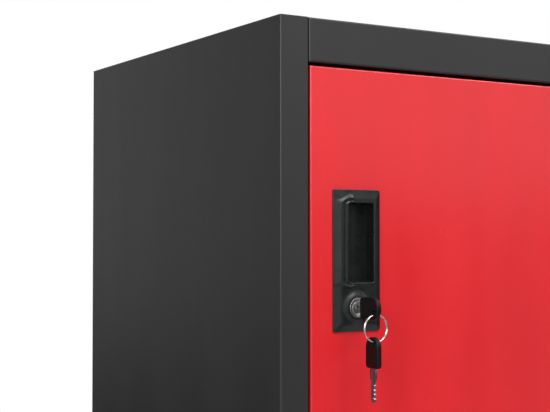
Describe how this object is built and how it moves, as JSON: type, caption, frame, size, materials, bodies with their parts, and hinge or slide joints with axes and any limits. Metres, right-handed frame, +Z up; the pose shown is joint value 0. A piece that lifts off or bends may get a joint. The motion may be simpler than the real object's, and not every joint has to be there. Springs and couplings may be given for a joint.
{
  "type": "steel locker cabinet",
  "caption": "Tall narrow folded-steel locker with stacked compartments, inset hinged doors, recessed black pulls, key cam locks and hanging spare keys.",
  "frame": {"origin": "on the floor, midway across the width and midway between the hanging keys in front and the back face", "axes": "+X to the right seen from the front, +Y towards the back, +Z up"},
  "size_m": [0.38, 0.4393, 1.15],
  "materials": {
    "carcass_paint": "satin powder coat",
    "door_paint": "semi-gloss powder coat",
    "handle_plastic": "satin moulded",
    "foot_plastic": "matte",
    "pad_rubber": "matte",
    "nylon": "matte",
    "zinc_steel": "zinc plated",
    "lock_metal": "nickel plated",
    "key_metal": "nickel plated",
    "key_plastic": "moulded",
    "ring_steel": "bright"
  },
  "bodies": {
    "carcass": {"left_side_panel": "carcass_paint", "right_side_panel": "carcass_paint", "top_panel": "carcass_paint", "bottom_panel": "carcass_paint", "back_panel": "carcass_paint", "upper_shelf": "carcass_paint", "lower_shelf": "carcass_paint", "foot_glides": "foot_plastic", "back_screws": "zinc_steel", "lower_hinge_pins": "zinc_steel", "upper_hinge_pins": "zinc_steel", "hinge_washers": "nylon", "door_pads": "pad_rubber"},
    "upper_door": {"upper_door_panel": "door_paint", "upper_door_stiffener": "door_paint", "upper_handle": "handle_plastic", "upper_handle_screws": "zinc_steel", "upper_lock_body": "lock_metal", "upper_lock_nut": "zinc_steel"},
    "upper_plug": {"upper_lock_plug": "lock_metal", "upper_lock_cam": "zinc_steel", "upper_cam_screw": "zinc_steel"},
    "upper_key": {"upper_key_blade": "key_metal", "upper_key_bow": "key_plastic"},
    "upper_ring": {"upper_key_ring": "ring_steel"},
    "upper_spare": {"upper_spare_blade": "key_metal", "upper_spare_bow": "key_plastic"},
    "middle_door": {"middle_door_panel": "door_paint", "middle_door_stiffener": "door_paint", "middle_handle": "handle_plastic", "middle_handle_screws": "zinc_steel", "middle_lock_body": "lock_metal", "middle_lock_nut": "zinc_steel"},
    "middle_plug": {"middle_lock_plug": "lock_metal", "middle_lock_cam": "zinc_steel", "middle_cam_screw": "zinc_steel"},
    "middle_key": {"middle_key_blade": "key_metal", "middle_key_bow": "key_plastic"},
    "middle_ring": {"middle_key_ring": "ring_steel"},
    "middle_spare": {"middle_spare_blade": "key_metal", "middle_spare_bow": "key_plastic"},
    "lower_door": {"lower_door_panel": "door_paint", "lower_door_stiffener": "door_paint", "lower_handle": "handle_plastic", "lower_handle_screws": "zinc_steel", "lower_lock_body": "lock_metal", "lower_lock_nut": "zinc_steel"},
    "lower_plug": {"lower_lock_plug": "lock_metal", "lower_lock_cam": "zinc_steel", "lower_cam_screw": "zinc_steel"},
    "lower_key": {"lower_key_blade": "key_metal", "lower_key_bow": "key_plastic"},
    "lower_ring": {"lower_key_ring": "ring_steel"},
    "lower_spare": {"lower_spare_blade": "key_metal", "lower_spare_bow": "key_plastic"}
  },
  "joints": [
    {"name": "upper_door_hinge", "type": "hinge", "parent": "carcass", "child": "upper_door", "pos_m": [0.1524, -0.1755, 0.77267], "axis": [0, 0, 1], "range_deg": [0, 105]},
    {"name": "upper_lock_turn", "type": "hinge", "parent": "upper_door", "child": "upper_plug", "pos_m": [-0.1165, -0.1815, 0.9053], "axis": [0, 1, 0], "range_deg": [0, 90]},
    {"name": "upper_key_pull", "type": "slide", "parent": "upper_plug", "child": "upper_key", "axis": [0, -1, 0], "range_m": [0, 0.023]},
    {"name": "upper_ring_swing", "type": "hinge", "parent": "upper_key", "child": "upper_ring", "pos_m": [-0.1165, -0.213, 0.90055], "axis": [-1, 0, 0], "range_deg": [-10, 60]},
    {"name": "upper_spare_slide", "type": "hinge", "parent": "upper_ring", "child": "upper_spare", "pos_m": [-0.1165, -0.213, 0.88915], "axis": [0, 1, 0], "range_deg": [-90, 90]},
    {"name": "middle_door_hinge", "type": "hinge", "parent": "carcass", "child": "middle_door", "pos_m": [0.1524, -0.1755, 0.40983], "axis": [0, 0, 1], "range_deg": [0, 105]},
    {"name": "middle_lock_turn", "type": "hinge", "parent": "middle_door", "child": "middle_plug", "pos_m": [-0.1165, -0.1815, 0.54247], "axis": [0, 1, 0], "range_deg": [0, 90]},
    {"name": "middle_key_pull", "type": "slide", "parent": "middle_plug", "child": "middle_key", "axis": [0, -1, 0], "range_m": [0, 0.023]},
    {"name": "middle_ring_swing", "type": "hinge", "parent": "middle_key", "child": "middle_ring", "pos_m": [-0.1165, -0.213, 0.53772], "axis": [-1, 0, 0], "range_deg": [-10, 60]},
    {"name": "middle_spare_slide", "type": "hinge", "parent": "middle_ring", "child": "middle_spare", "pos_m": [-0.1165, -0.213, 0.52632], "axis": [0, 1, 0], "range_deg": [-90, 90]},
    {"name": "lower_door_hinge", "type": "hinge", "parent": "carcass", "child": "lower_door", "pos_m": [0.1524, -0.1755, 0.047], "axis": [0, 0, 1], "range_deg": [0, 105]},
    {"name": "lower_lock_turn", "type": "hinge", "parent": "lower_door", "child": "lower_plug", "pos_m": [-0.1165, -0.1815, 0.17963], "axis": [0, 1, 0], "range_deg": [0, 90]},
    {"name": "lower_key_pull", "type": "slide", "parent": "lower_plug", "child": "lower_key", "axis": [0, -1, 0], "range_m": [0, 0.023]},
    {"name": "lower_ring_swing", "type": "hinge", "parent": "lower_key", "child": "lower_ring", "pos_m": [-0.1165, -0.213, 0.17488], "axis": [-1, 0, 0], "range_deg": [-10, 60]},
    {"name": "lower_spare_slide", "type": "hinge", "parent": "lower_ring", "child": "lower_spare", "pos_m": [-0.1165, -0.213, 0.16348], "axis": [0, 1, 0], "range_deg": [-90, 90]}
  ]
}
